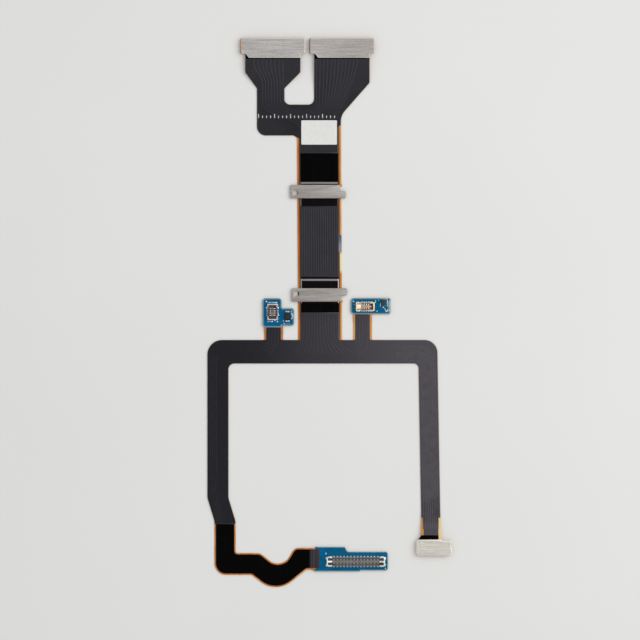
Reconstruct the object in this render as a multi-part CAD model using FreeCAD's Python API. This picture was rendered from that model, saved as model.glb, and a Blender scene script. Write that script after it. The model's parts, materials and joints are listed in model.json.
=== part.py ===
import FreeCAD, Part
import math
import os

from FreeCAD import Vector

# A branched flat flex cable lying on a table, in millimetres, +Z up, with its plugs, sockets, steel plates
# and small boards. While it is drawn, X = 0 is the middle of the ribbon and Y = 0 lies midway between the
# two hinge brackets. At the end it is moved so that the origin is the middle of its footprint on the table.

# Layers of the laminate
BASE_FILM = 0.15
COVERLAY = 0.05
SHIELD_FILM = 0.05
TAPE = 0.05
TAPE_COVER = 0.05
LABEL = 0.05
MASK = 0.08
PLATING = 0.04

# Stiff plates
TOP_PLATE = 0.3
BRACKET_PLATE = 0.3
BOARD_PLATE = 0.2

# Ribbon, with a strip of bare base film along each edge
RIBBON_WIDTH = 9.9
RIBBON_MARGIN = 0.68
RIBBON_ABOVE = 24.25
RIBBON_BELOW = 21.75
RIBBON_DRIFT = 0.27
FLARE = 0.35
STEM_MARGIN = 0.42

# Upper body and its two fingers
BODY_LEFT = 9.0
BODY_CORNER = 2.0
NECK_CORNER = 1.0
SHOULDER_RISE = 4.5
SHOULDER_CURVE = 3.6
MARGIN_START = 2.4
NECK_LAP = 0.8
SLOT_RISE = 6.95
SLOT_WIDTH = 6.66
SLOT_CORNER = 1.3
FINGER_GAP = 3.05
FINGER_BEND = 0.8
FINGER_LENGTH = 10.5
LEFT_FINGER_WIDTH = 12.45
LEFT_DIAGONAL_START = 3.65
LEFT_DIAGONAL_RISE = 3.6
RIGHT_FINGER_WIDTH = 12.5
RIGHT_FINGER_OFFSET = 1.1
RIGHT_DIAGONAL_TOP = 4.9

# Steel plates over the two top plugs
TOP_PLATE_WIDTH = 14.45
TOP_PLATE_DEPTH = 4.4
TOP_PLATE_STEP = 0.9
TOP_PLATE_LEFT_STEP = 1.1
TOP_PLATE_RIGHT_STEP = 1.05
TOP_PLATE_CHAMFER = 0.6
TOP_PLATE_CORNER = 0.35
TOP_PLATE_STEP_CORNER = 0.3
LEFT_PLATE_LAP = 1.07
RIGHT_PLATE_LAP = 0.86
FILM_PROUD = 0.18
FILM_END_CORNER = 0.2
FILM_GAP = 0.05

# Covers on the ribbon
COVERLAY_TOP = 20.3
COVERLAY_BOTTOM = 15.6
MIDDLE_FILM_TOP = 8.3
MIDDLE_FILM_BOTTOM = 7.6
TAB_TOP = 1.9
TAB_HEIGHT = 3.9
TAB_CORNER = 0.2
LABEL_WIDTH = 8.0
LABEL_HEIGHT = 5.45
LABEL_RISE = 1.9
LABEL_CORNER = 0.1

# Hinge brackets and the tape that holds each one
BRACKET_SPACING = 23.25
BRACKET_HEIGHT = 3.0
BRACKET_OVERHANG = 1.6
BRACKET_SHORT = 0.3
LOWER_BRACKET_SHIFT = 0.15
BRACKET_CORNER = 0.3
EAR_HEIGHT = 1.6
EAR_REACH = 1.33
EAR_CORNER = 0.4
NOTCH_CORNER = 0.5
PIN_HOLE_RADIUS = 0.6
PIN_HOLE_INSET = 1.15
PIN_HOLE_DROP = 0.28
TAPE_HEIGHT = 5.4
UPPER_TAPE_RISE = 2.15
LOWER_TAPE_RISE = 3.6
COVER_TOP_INSET = 0.42
COVER_SIDE_INSET = 0.2
FILM_EAR_REACH = 0.2
FILM_EAR_TOP = 1.75
FILM_EAR_BOTTOM = 1.15
FILM_NOTCH_END = -0.3
FILM_EAR_CORNER = 0.15

# U-shaped frame and its two legs
BAR_HEIGHT = 5.3
FRAME_LEFT = 25.1
FRAME_RIGHT = 26.62
LEFT_LEG_WIDTH = 4.75
LEFT_LEG_LENGTH = 30.25
LEG_JOG = 1.6
LEG_JOG_LENGTH = 5.2
JOG_CURVE = 4.0
RIGHT_LEG_WIDTH = 4.32
RIGHT_LEG_DRIFT = 0.78
RIGHT_LEG_LENGTH = 39.6
OUTER_LEFT_CORNER = 3.3
OUTER_RIGHT_CORNER = 2.9
INNER_LEFT_CORNER = 1.35
INNER_RIGHT_CORNER = 1.1
LEFT_FILM_PAST_JOG = 0.65
LEG_MARGIN = 0.5
LEG_MARGIN_LENGTH = 4.9
LEG_BAND = 1.0

# Tail: distances along X are from the inner edge of the left leg, and a dip is that of its corner, which an
# arc then rounds
TAIL_DROP = 7.2
TAIL_WIDTH = 4.9
TAIL_LENGTH = 17.95
TAIL_OUTER_CORNER = 2.6
TAIL_INNER_CORNER = 0.5
TAIL_MARGIN = 0.3
UPPER_DIP = 3.85
UPPER_CREST = 1.16
UPPER_BENDS = ((5.5, 2.3), (10.27, 2.98), (13.27, 1.6))
LOWER_DIP = 4.34
LOWER_CREST = 1.25
LOWER_BENDS = ((3.58, 0.9), (9.06, 5.68), (16.0, 0.7), (17.0, 0.5))
TAIL_END_FILM = 1.3
TAIL_FILM_LAP = 0.95

# Tail board
TAIL_BOARD_LENGTH = 16.3
TAIL_BOARD_RISE = 1.4
TAIL_BOARD_HEIGHT = 5.5
TAIL_BOARD_STEP = 1.1
TAIL_BOARD_STEP_START = 6.65
TAIL_BOARD_STEP_RUN = 0.5
TAIL_BOARD_CORNER = 0.6
TAIL_BOARD_FOOT_STEP = 0.22
TAIL_BOARD_FOOT_START = 9.98
MASK_GAP = 0.02
TAIL_SOCKET_X = 9.08
TAIL_SOCKET_Y = 2.2
TAIL_DOTS = ((2.4, 4.0), (15.7, 0.7))

# Stems and boards of the two branches, with places on a board measured from its lower left corner
STEM_WIDTH = 4.2
LEFT_STEM_CENTRE = 10.2
LEFT_BOARD_RISE = 2.85
LEFT_BOARD_LEFT = 2.5
LEFT_BOARD_WIDTH = 4.3
LEFT_BOARD_HEIGHT = 6.55
LEFT_BOARD_CORNER = 0.7
LOBE_REACH = 2.8
LOBE_RISE = 0.35
LOBE_HEIGHT = 3.95
LOBE_CORNER = 0.6
LOBE_INNER_CORNER = 0.2
LEFT_SOCKET_PLACE = (2.24, 3.44)
LEFT_CHIP_PLACE = (5.6, 2.45)
LEFT_DOTS = ((0.86, 5.8), (6.5, 3.6), (3.35, 1.25))
LEFT_BARS = ((1.35, 5.5, 1.95), (1.02, 1.21, 1.33))
RIGHT_STEM_CENTRE = 9.8
RIGHT_BOARD_RISE = 5.8
RIGHT_BOARD_LEFT = 2.67
RIGHT_BOARD_WIDTH = 8.97
RIGHT_BOARD_HEIGHT = 3.65
RIGHT_BOARD_LEFT_CORNER = 0.8
RIGHT_BOARD_RIGHT_CORNER = 0.45
RIGHT_SOCKET_PLACE = (3.26, 1.69)
RIGHT_CHIP_PLACE = (7.4, 2.6)
RIGHT_DOTS = ((0.61, 2.87), (5.92, 0.67), (8.0, 0.67))
RIGHT_BARS = ((8.15, 1.75, 1.5), (5.5, 2.5, 0.65))

# Steel plate over the lower right plug
END_PLATE_WIDTH = 8.0
END_PLATE_DEPTH = 3.55
END_PLATE_CORNER = 0.7
END_PLATE_CHAMFER = 0.35
END_PLATE_LAP = 1.18
END_PLATE_STEP = 0.22
END_PLATE_STEP_START = 5.7
END_NOTCH_DEPTH = 0.2
END_NOTCH_HEIGHT = 1.1
END_NOTCH_DROP = 1.0

# Lengths over which the laminate rises from the table to a connector or a board
FINGER_RAMP = 8.5
LEG_RAMP = 7.5
TAIL_RAMP = 6.0
STEM_RAMP = 2.2
RAMP_CLEARANCE = 0.2

# Plugs hang under the laminate and stand on the table
PLUG_HEIGHT = 0.6
PLUG_DEPTH = 1.9
PLUG_WALL = 0.32
PLUG_FLOOR = 0.16
PLUG_END = 1.1
PLUG_END_WALL = 0.5
PLUG_FITTING_WIDTH = 1.4

# Sockets stand on the boards
SOCKET_HEIGHT = 0.65
SOCKET_WALL = 0.24
SOCKET_FLOOR = 0.14
ISLAND_WIDTH = 0.56
ISLAND_HEIGHT = 0.46
SPRING_HEIGHT = 0.4
TAIL_SOCKET_DEPTH = 2.1
TAIL_SOCKET_END = 1.25
LEFT_SOCKET_DEPTH = 2.3
LEFT_SOCKET_END = 0.85
RIGHT_SOCKET_DEPTH = 1.9
RIGHT_SOCKET_END = 1.1
SOCKET_END_WALL = 0.3
RIB = 0.4
WIDE_RIB = 1.0
HOUSING_CORNER = 0.1

# Contacts
CONTACT = 0.08
CONTACT_FOOT = 0.22
LONG_PITCH = 0.76
LONG_WIDTH = 0.34
BRANCH_PITCH = 0.5
BRANCH_WIDTH = 0.24
LONG_ROW_COUNT = 14
END_PLUG_ROW_COUNT = 6
BRANCH_ROW_COUNT = 4

# Small parts on the boards
CHIP = (1.25, 1.85, 0.5, 0.9, 0.28)
SMALL_CHIP = (0.94, 1.3, 0.4, 0.94, 0.15)
DOT_SIZE = 0.28
BAR_WIDTH = 0.16

# A corner with a radius under this is cut straight across, and one that turns less than this angle is left
LEAST_ROUND = 0.22
STRAIGHT_ANGLE = 1e-4
SAME_POINT = 1e-6

# Further than any edge of the cable
FAR = 100.0

# Heights above the underside of the base film
base_top = BASE_FILM
shield_top = base_top + SHIELD_FILM
coverlay_top = base_top + COVERLAY
tape_top = coverlay_top + TAPE
cover_top = tape_top + TAPE_COVER
mask_top = base_top + MASK

# Lines that the outlines share
half_ribbon = RIBBON_WIDTH / 2
bar_top = -RIBBON_BELOW
bar_bottom = bar_top - BAR_HEIGHT
body_bottom = RIBBON_ABOVE
body_left = -half_ribbon - BODY_LEFT
slot_floor = body_bottom + SLOT_RISE
finger_top = slot_floor + FINGER_LENGTH
plate_top = finger_top + TOP_PLATE_DEPTH
plate_step = finger_top + TOP_PLATE_STEP
right_finger_left = -RIGHT_FINGER_OFFSET
right_finger_right = right_finger_left + RIGHT_FINGER_WIDTH
left_finger_right = right_finger_left - FINGER_GAP
left_finger_left = left_finger_right - LEFT_FINGER_WIDTH
slot_left = right_finger_left - SLOT_WIDTH
left_plate_left = left_finger_right + LEFT_PLATE_LAP - TOP_PLATE_WIDTH
right_plate_left = right_finger_left - RIGHT_PLATE_LAP
jog_top = bar_bottom - LEFT_LEG_LENGTH
jog_bottom = jog_top - LEG_JOG_LENGTH
left_leg_inner = -FRAME_LEFT + LEFT_LEG_WIDTH
tail_left = -FRAME_LEFT + LEG_JOG
tail_inner = left_leg_inner + LEG_JOG
tail_top = jog_bottom - TAIL_DROP
tail_bottom = tail_top - TAIL_WIDTH
left_film_end = jog_bottom - LEFT_FILM_PAST_JOG
right_leg_bottom = bar_bottom - RIGHT_LEG_LENGTH
leg_foot = right_leg_bottom + LEG_BAND
end_plate_left = FRAME_RIGHT - RIGHT_LEG_WIDTH + RIGHT_LEG_DRIFT - END_PLATE_LAP
end_plate_bottom = right_leg_bottom - END_PLATE_DEPTH
tail_board_left = tail_inner + TAIL_LENGTH
tail_board_right = tail_board_left + TAIL_BOARD_LENGTH
tail_board_top = tail_top + TAIL_BOARD_RISE
tail_board_bottom = tail_board_top - TAIL_BOARD_HEIGHT
left_board_left = -LEFT_STEM_CENTRE - LEFT_BOARD_LEFT
left_board_right = left_board_left + LEFT_BOARD_WIDTH
left_board_bottom = bar_top + LEFT_BOARD_RISE
right_board_left = RIGHT_STEM_CENTRE - RIGHT_BOARD_LEFT
right_board_bottom = bar_top + RIGHT_BOARD_RISE


def ribbon_drift(y):
    """How far the ribbon's centreline has run to the right at height y."""
    along = (body_bottom - y) / (body_bottom - bar_top)
    return RIBBON_DRIFT * min(max(along, 0.0), 1.0)


def ribbon_edge(side, y, inset=0.0):
    return side * (half_ribbon - inset) + ribbon_drift(y)


def right_leg_edge(across, y):
    """X of the right leg at a distance inwards from its outer edge."""
    along = (bar_top - y) / (bar_top - right_leg_bottom)
    return FRAME_RIGHT - across + RIGHT_LEG_DRIFT * along


def rounded(corners):
    """A flat face from corners (x, y, radius), each radius an arc tangent to both edges or a small cut."""
    tangents = []
    count = len(corners)
    for i, (x, y, radius) in enumerate(corners):
        here = Vector(x, y, 0)
        before = Vector(corners[i - 1][0], corners[i - 1][1], 0) - here
        after = Vector(corners[(i + 1) % count][0], corners[(i + 1) % count][1], 0) - here
        before.normalize()
        after.normalize()
        half_angle = before.getAngle(after) / 2
        if radius == 0 or math.pi / 2 - half_angle < STRAIGHT_ANGLE:
            tangents.append((here, None, here, False))
            continue
        run = radius / math.tan(half_angle)
        inward = before + after
        inward.normalize()
        middle = here + inward * (radius / math.sin(half_angle) - radius)
        tangents.append((here + before * run, middle, here + after * run, radius < LEAST_ROUND))
    edges = []
    for i, (start, middle, end, straight) in enumerate(tangents):
        if straight:
            edges.append(Part.LineSegment(start, end).toShape())
        elif middle is not None:
            edges.append(Part.Arc(start, middle, end).toShape())
        following = tangents[(i + 1) % count][0]
        if end.distanceToPoint(following) > SAME_POINT:
            edges.append(Part.LineSegment(end, following).toShape())
    return Part.Face(Part.Wire(edges))


def rectangle(left, bottom, width, height, corner=0.0):
    right = left + width
    top = bottom + height
    return rounded([(left, bottom, corner), (right, bottom, corner), (right, top, corner), (left, top, corner)])


def plate(face, low, high):
    """A flat solid with the face's outline between two heights."""
    solid = face.copy()
    solid.translate(Vector(0, 0, low))
    return solid.extrude(Vector(0, 0, high - low))


def join(solids):
    """One solid from touching solids, with no seams left between them."""
    whole = solids[0] if len(solids) == 1 else solids[0].multiFuse(solids[1:])
    return whole.removeSplitter()


class Ramp:
    """A stretch of laminate that rises from the table through two equal arcs."""

    def __init__(self, direction, start, length, rise, region):
        self.direction = direction
        self.start = start
        self.length = length
        self.rise = rise
        self.region = region

    def box(self):
        (left, bottom), (right, top) = self.region
        return Part.makeBox(right - left, top - bottom, 2 * FAR, Vector(left, bottom, -FAR))

    def curve(self, offset):
        """Edges of the side view of a line that lies offset above the base film's underside."""
        radius = (self.length ** 2 + self.rise ** 2) / (4 * self.rise)
        turn = 2 * math.atan(self.rise / self.length)

        def point(distance, z):
            return self.direction * distance + Vector(0, 0, z)

        def lower(angle):
            bend = radius - offset
            return point(self.start + bend * math.sin(angle), radius - bend * math.cos(angle))

        def upper(angle):
            bend = radius + offset
            end = self.start + self.length
            return point(end - bend * math.sin(angle), self.rise - radius + bend * math.cos(angle))

        return [
            Part.LineSegment(point(-FAR, offset), lower(0)).toShape(),
            Part.Arc(lower(0), lower(turn / 2), lower(turn)).toShape(),
            Part.Arc(upper(turn), upper(turn / 2), upper(0)).toShape(),
            Part.LineSegment(upper(0), point(FAR, self.rise + offset)).toShape(),
        ]

    def layer(self, low, high):
        """The layer between two offsets, over the ramp's own region."""
        under = self.curve(low)
        over = self.curve(high)
        first = Part.LineSegment(under[0].Vertexes[0].Point, over[0].Vertexes[0].Point).toShape()
        last = Part.LineSegment(under[-1].Vertexes[-1].Point, over[-1].Vertexes[-1].Point).toShape()
        side = Part.Face(Part.Wire(Part.__sortEdges__(under + over + [first, last])))
        across = self.direction.cross(Vector(0, 0, 1))
        side.translate(across * -FAR)
        return side.extrude(across * (2 * FAR)).common(self.box())


north = Vector(0, 1, 0)
south = Vector(0, -1, 0)
east = Vector(1, 0, 0)

left_split = (left_board_right + LOBE_REACH + ribbon_edge(-1, bar_top) - FLARE) / 2
right_split = (right_board_left + ribbon_edge(1, bar_top) + FLARE) / 2
lower_split = (tail_board_right + end_plate_left) / 2
finger_ramp_start = finger_top - RAMP_CLEARANCE - FINGER_RAMP
leg_ramp_start = right_leg_bottom + RAMP_CLEARANCE + LEG_RAMP
tail_ramp_start = tail_board_left - RAMP_CLEARANCE - TAIL_RAMP
left_ramp_start = left_board_bottom - RAMP_CLEARANCE - STEM_RAMP
right_ramp_start = right_board_bottom - RAMP_CLEARANCE - STEM_RAMP

finger_ramp = Ramp(north, finger_ramp_start, FINGER_RAMP, PLUG_HEIGHT, ((-FAR, -FAR), (FAR, FAR)))
branch_ramps = [
    Ramp(north, left_ramp_start, STEM_RAMP, BOARD_PLATE, ((-FAR, bar_top), (left_split, 0))),
    Ramp(north, right_ramp_start, STEM_RAMP, BOARD_PLATE, ((right_split, bar_top), (FAR, 0))),
    Ramp(east, tail_ramp_start, TAIL_RAMP, BOARD_PLATE, ((tail_ramp_start, -FAR), (lower_split, jog_top))),
    Ramp(south, -leg_ramp_start, LEG_RAMP, PLUG_HEIGHT, ((lower_split, -FAR), (FAR, leg_ramp_start))),
]


def laminate(faces, low, high):
    """A film with the outline of all the faces together, laid along the laminate between two offsets."""
    outline = join([plate(face, -FAR, FAR) for face in faces])
    main_layer = finger_ramp.layer(low, high)
    layers = []
    for ramp in branch_ramps:
        main_layer = main_layer.cut(ramp.box())
        layers.append(ramp.layer(low, high))
    layers.append(main_layer)
    return join([solid for layer in layers for solid in outline.common(layer).Solids])


def top_plate_face(left):
    right = left + TOP_PLATE_WIDTH
    corner = TOP_PLATE_CORNER
    return rounded([
        (left, plate_step, corner),
        (left + TOP_PLATE_LEFT_STEP, plate_step, TOP_PLATE_STEP_CORNER),
        (left + TOP_PLATE_LEFT_STEP + TOP_PLATE_CHAMFER, finger_top, TOP_PLATE_STEP_CORNER),
        (right - TOP_PLATE_RIGHT_STEP, finger_top, 0),
        (right - TOP_PLATE_RIGHT_STEP, plate_step, TOP_PLATE_STEP_CORNER),
        (right, plate_step, corner),
        (right, plate_top, corner),
        (left, plate_top, corner),
    ])


def finger_end_face(left):
    """Base film under a top plate, showing a little at its left."""
    width = TOP_PLATE_WIDTH + FILM_PROUD
    depth = plate_top - plate_step
    return rectangle(left - FILM_PROUD, plate_step, width, depth, FILM_END_CORNER)


def film_end_corners(left, plate_left):
    """End of a finger's shield film, from its left edge along the notched edge of the steel plate."""
    step = plate_left + TOP_PLATE_LEFT_STEP - FILM_GAP
    return [
        (left, plate_step - FILM_GAP, 0),
        (step, plate_step - FILM_GAP, 0),
        (step + TOP_PLATE_CHAMFER, finger_top - FILM_GAP, 0),
    ]


def body_corners(left_end, right_end, top, right_margin):
    """The upper body and fingers, clockwise from the left finger's outer edge to the ribbon's right edge."""
    diagonal_bottom = slot_floor + LEFT_DIAGONAL_START
    diagonal_top = diagonal_bottom + LEFT_DIAGONAL_RISE
    shoulder = body_bottom + SHOULDER_RISE
    corners = [
        (body_left, body_bottom, BODY_CORNER),
        (body_left, diagonal_bottom, FINGER_BEND),
        (left_finger_left, diagonal_top, FINGER_BEND),
        *left_end,
        (left_finger_right, top, 0),
        (left_finger_right, diagonal_top, FINGER_BEND),
        (slot_left, diagonal_bottom, FINGER_BEND),
        (slot_left, slot_floor, SLOT_CORNER),
        (right_finger_left, slot_floor, SLOT_CORNER),
        *right_end,
        (right_finger_right, top, 0),
        (right_finger_right, slot_floor + RIGHT_DIAGONAL_TOP, FINGER_BEND),
        (half_ribbon, shoulder, SHOULDER_CURVE),
    ]
    if right_margin:
        corners.append((half_ribbon, body_bottom + MARGIN_START, 0))
        corners.append((half_ribbon - RIBBON_MARGIN, body_bottom + MARGIN_START - RIBBON_MARGIN, 0))
    return corners


def tail_upper_corners():
    """Upper edge of the tail from the left leg's inner edge to its crest beside the board."""
    heights = (tail_top, tail_top - UPPER_DIP, tail_top + UPPER_CREST)
    corners = [(tail_inner, tail_top, TAIL_INNER_CORNER)]
    for (distance, radius), height in zip(UPPER_BENDS, heights):
        corners.append((tail_inner + distance, height, radius))
    return corners


def tail_lower_corners():
    """Lower edge of the tail from its crest beside the board back to the left leg's outer edge."""
    crest = tail_bottom + LOWER_CREST
    heights = (tail_bottom, tail_bottom - LOWER_DIP, crest, crest)
    corners = []
    for (distance, radius), height in zip(LOWER_BENDS, heights):
        corners.append((tail_inner + distance, height, radius))
    corners.reverse()
    corners.append((tail_left, tail_bottom, TAIL_OUTER_CORNER))
    return corners


def tail_corners():
    lap = tail_board_left + FLARE
    return tail_upper_corners() + [
        (lap, tail_top + UPPER_CREST, 0),
        (lap, tail_board_bottom, 0),
        (tail_board_left, tail_board_bottom, 0),
    ] + tail_lower_corners()


def film_ear(side):
    """The ribbon's right edge at a bracket, going down: a small ear of film and the notch next to it."""
    corners = []
    for out, rise, corner in (
        (0, FILM_EAR_TOP, 0),
        (FILM_EAR_REACH, FILM_EAR_TOP, FILM_EAR_CORNER),
        (FILM_EAR_REACH, FILM_EAR_BOTTOM, FILM_EAR_CORNER),
        (-BRACKET_SHORT, FILM_EAR_BOTTOM, FILM_EAR_CORNER),
        (-BRACKET_SHORT, FILM_NOTCH_END, 0),
        (0, FILM_NOTCH_END, 0),
    ):
        y = side * (BRACKET_SPACING / 2 + rise)
        corners.append((ribbon_edge(1, y) + out, y, corner))
    return corners[::side]


def stem_corners(centre, top, margin):
    """One branch stem, going up from the bar, across and down again."""
    half = STEM_WIDTH / 2 - margin
    return [
        (centre - half, bar_top, FLARE),
        (centre - half, top, 0),
        (centre + half, top, 0),
        (centre + half, bar_top, FLARE),
    ]


def frame_inner_corners():
    """Inner edge of the frame from the foot of the right leg round to the left leg's jog."""
    return [
        (right_leg_edge(RIGHT_LEG_WIDTH, bar_bottom), bar_bottom, INNER_RIGHT_CORNER),
        (left_leg_inner, bar_bottom, INNER_LEFT_CORNER),
        (left_leg_inner, jog_top, JOG_CURVE),
        (tail_inner, jog_bottom, JOG_CURVE),
    ]


def frame_outer_left_corners():
    return [
        (tail_left, jog_bottom, JOG_CURVE),
        (-FRAME_LEFT, jog_top, JOG_CURVE),
        (-FRAME_LEFT, bar_top, OUTER_LEFT_CORNER),
    ]


def base_face():
    """The whole circuit film apart from its board and plug ends, clockwise from the body's lower left."""
    leg_end = right_leg_bottom - FLARE
    top = plate_step + FLARE
    return rounded(
        body_corners([(left_finger_left, top, 0)], [(right_finger_left, top, 0)], top, False)
        + film_ear(1)
        + film_ear(-1)
        + [(ribbon_edge(1, bar_top), bar_top, FLARE)]
        + stem_corners(RIGHT_STEM_CENTRE, right_board_bottom + FLARE, 0)
        + [
            (FRAME_RIGHT, bar_top, OUTER_RIGHT_CORNER),
            (right_leg_edge(0, leg_end), leg_end, 0),
            (end_plate_left + END_PLATE_CHAMFER, leg_end, 0),
            (end_plate_left + END_PLATE_CHAMFER, right_leg_bottom, 0),
            (right_leg_edge(RIGHT_LEG_WIDTH, leg_foot), leg_foot, 0),
        ]
        + frame_inner_corners()
        + tail_corners()
        + frame_outer_left_corners()
        + stem_corners(-LEFT_STEM_CENTRE, left_board_bottom + FLARE, 0)
        + [
            (ribbon_edge(-1, bar_top), bar_top, FLARE),
            (-half_ribbon, body_bottom, NECK_CORNER),
        ]
    )


def upper_shield_face():
    edge = half_ribbon - RIBBON_MARGIN
    left_end = film_end_corners(left_finger_left, left_plate_left)
    right_end = film_end_corners(right_finger_left, right_plate_left)
    return rounded(
        body_corners(left_end, right_end, finger_top - FILM_GAP, True)
        + [
            (ribbon_edge(1, COVERLAY_TOP, RIBBON_MARGIN), COVERLAY_TOP, 0),
            (ribbon_edge(-1, COVERLAY_TOP, RIBBON_MARGIN), COVERLAY_TOP, 0),
            (-edge, body_bottom - NECK_LAP, 0),
            (-half_ribbon - NECK_LAP, body_bottom, 0),
        ]
    )


def lower_shield_face():
    """Frame film: flush with the bar and legs, set back from the edges of the ribbon and the stems."""
    top = -COVERLAY_BOTTOM
    margin_top = right_leg_bottom + LEG_MARGIN_LENGTH
    far_edge = RIGHT_LEG_WIDTH - LEG_MARGIN
    return rounded(
        [
            (ribbon_edge(-1, top, RIBBON_MARGIN), top, 0),
            (ribbon_edge(1, top, RIBBON_MARGIN), top, 0),
            (ribbon_edge(1, bar_top, RIBBON_MARGIN), bar_top, FLARE),
        ]
        + stem_corners(RIGHT_STEM_CENTRE, right_board_bottom, STEM_MARGIN)
        + [
            (FRAME_RIGHT, bar_top, OUTER_RIGHT_CORNER),
            (right_leg_edge(0, margin_top), margin_top, 0),
            (right_leg_edge(LEG_MARGIN, margin_top), margin_top, 0),
            (right_leg_edge(LEG_MARGIN, leg_foot), leg_foot, 0),
            (right_leg_edge(far_edge, leg_foot), leg_foot, 0),
            (right_leg_edge(far_edge, margin_top), margin_top, 0),
            (right_leg_edge(RIGHT_LEG_WIDTH, margin_top), margin_top, 0),
        ]
        + frame_inner_corners()
        + [(tail_inner, left_film_end, 0), (tail_left, left_film_end, 0)]
        + frame_outer_left_corners()
        + stem_corners(-LEFT_STEM_CENTRE, left_board_bottom, STEM_MARGIN)
        + [(ribbon_edge(-1, bar_top, RIBBON_MARGIN), bar_top, FLARE)]
    )


def ribbon_strip(top, bottom, inset, corner=0.0):
    """A length of ribbon, set back from both of its edges."""
    return rounded([
        (ribbon_edge(-1, bottom, inset), bottom, corner),
        (ribbon_edge(1, bottom, inset), bottom, corner),
        (ribbon_edge(1, top, inset), top, corner),
        (ribbon_edge(-1, top, inset), top, corner),
    ])


def tail_coverlay_face():
    """Tail cover: the tail's own outline, set back all along, from the left leg to the grey end strip."""
    whole = rounded(
        tail_corners() + [(tail_left, jog_bottom, 0), (tail_inner, jog_bottom, 0)]
    ).makeOffset2D(-TAIL_MARGIN)
    end = tail_board_left - TAIL_END_FILM
    window = rectangle(-FAR, -FAR, FAR + end, FAR + left_film_end)
    return whole.common(window).Faces[0]


def leg_end_face():
    """Black strip across the right leg, wider at its foot, just above the steel plate."""
    bottom = right_leg_bottom + FILM_GAP
    return rounded([
        (end_plate_left + END_PLATE_CHAMFER + FILM_GAP, bottom, 0),
        (right_leg_edge(LEG_MARGIN, bottom), bottom, 0),
        (right_leg_edge(LEG_MARGIN, leg_foot), leg_foot, 0),
        (right_leg_edge(RIGHT_LEG_WIDTH, leg_foot), leg_foot, 0),
    ])


def edge_tab_face():
    """Dark tab over the bare strip at the ribbon's right edge."""
    bottom = TAB_TOP - TAB_HEIGHT
    return rounded([
        (ribbon_edge(1, bottom, RIBBON_MARGIN), bottom, 0),
        (ribbon_edge(1, bottom), bottom, TAB_CORNER),
        (ribbon_edge(1, TAB_TOP), TAB_TOP, TAB_CORNER),
        (ribbon_edge(1, TAB_TOP, RIBBON_MARGIN), TAB_TOP, 0),
    ])


def label_face():
    left = ribbon_edge(-1, COVERLAY_TOP, RIBBON_MARGIN) + (RIBBON_WIDTH - 2 * RIBBON_MARGIN - LABEL_WIDTH) / 2
    return rectangle(left, COVERLAY_TOP + LABEL_RISE, LABEL_WIDTH, LABEL_HEIGHT, LABEL_CORNER)


def left_board_face():
    lobe_bottom = left_board_bottom + LOBE_RISE
    lobe_top = lobe_bottom + LOBE_HEIGHT
    top = left_board_bottom + LEFT_BOARD_HEIGHT
    right = left_board_right + LOBE_REACH
    return rounded([
        (left_board_left, left_board_bottom, LEFT_BOARD_CORNER),
        (left_board_right, left_board_bottom, 0),
        (left_board_right, lobe_bottom, 0),
        (right, lobe_bottom, LOBE_CORNER),
        (right, lobe_top, LOBE_CORNER),
        (left_board_right, lobe_top, LOBE_INNER_CORNER),
        (left_board_right, top, LEFT_BOARD_CORNER),
        (left_board_left, top, LEFT_BOARD_CORNER),
    ])


def right_board_face():
    right = right_board_left + RIGHT_BOARD_WIDTH
    top = right_board_bottom + RIGHT_BOARD_HEIGHT
    return rounded([
        (right_board_left, right_board_bottom, RIGHT_BOARD_LEFT_CORNER),
        (right, right_board_bottom, RIGHT_BOARD_RIGHT_CORNER),
        (right, top, RIGHT_BOARD_RIGHT_CORNER),
        (right_board_left, top, RIGHT_BOARD_LEFT_CORNER),
    ])


def tail_end_face():
    """Grey strip of film that ends on the tail board."""
    left = tail_board_left - TAIL_END_FILM
    bottom = tail_bottom + LOWER_CREST + TAIL_MARGIN
    height = tail_top + UPPER_CREST - TAIL_MARGIN - bottom
    return rectangle(left, bottom, TAIL_END_FILM + TAIL_FILM_LAP, height)


def tail_board_face():
    """Tail board, lower at its right end."""
    left = tail_board_left
    step_start = tail_board_left + TAIL_BOARD_STEP_START
    step_end = step_start + TAIL_BOARD_STEP_RUN
    low_top = tail_board_top - TAIL_BOARD_STEP
    foot_start = left + TAIL_BOARD_FOOT_START
    high_bottom = tail_board_bottom + TAIL_BOARD_FOOT_STEP
    corner = TAIL_BOARD_CORNER
    return rounded([
        (left, tail_board_bottom, 0),
        (foot_start, tail_board_bottom, 0),
        (foot_start, high_bottom, 0),
        (tail_board_right, high_bottom, corner),
        (tail_board_right, low_top, corner),
        (step_end, low_top, corner),
        (step_start, tail_board_top, corner),
        (left, tail_board_top, 0),
    ])


def tail_mask_face():
    """Solder mask of the tail board, cut out round the end of the film."""
    cut_out = tail_end_face().makeOffset2D(MASK_GAP, 2)
    return tail_board_face().cut(cut_out).Faces[0]


def end_plate_face():
    left = end_plate_left
    right = left + END_PLATE_WIDTH
    step = left + END_PLATE_STEP_START
    low_top = right_leg_bottom - END_PLATE_STEP
    notch_top = right_leg_bottom - END_NOTCH_DROP
    notch_bottom = notch_top - END_NOTCH_HEIGHT
    notch = END_NOTCH_DEPTH
    return rounded([
        (left, end_plate_bottom, END_PLATE_CORNER),
        (right, end_plate_bottom, END_PLATE_CORNER),
        (right, notch_bottom, 0),
        (right - notch, notch_bottom + notch, 0),
        (right - notch, notch_top - notch, 0),
        (right, notch_top, 0),
        (right, low_top, END_PLATE_CHAMFER),
        (step, low_top, 0),
        (step, right_leg_bottom, 0),
        (left + END_PLATE_CHAMFER, right_leg_bottom, 0),
        (left, right_leg_bottom - END_PLATE_CHAMFER, 0),
    ])


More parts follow.
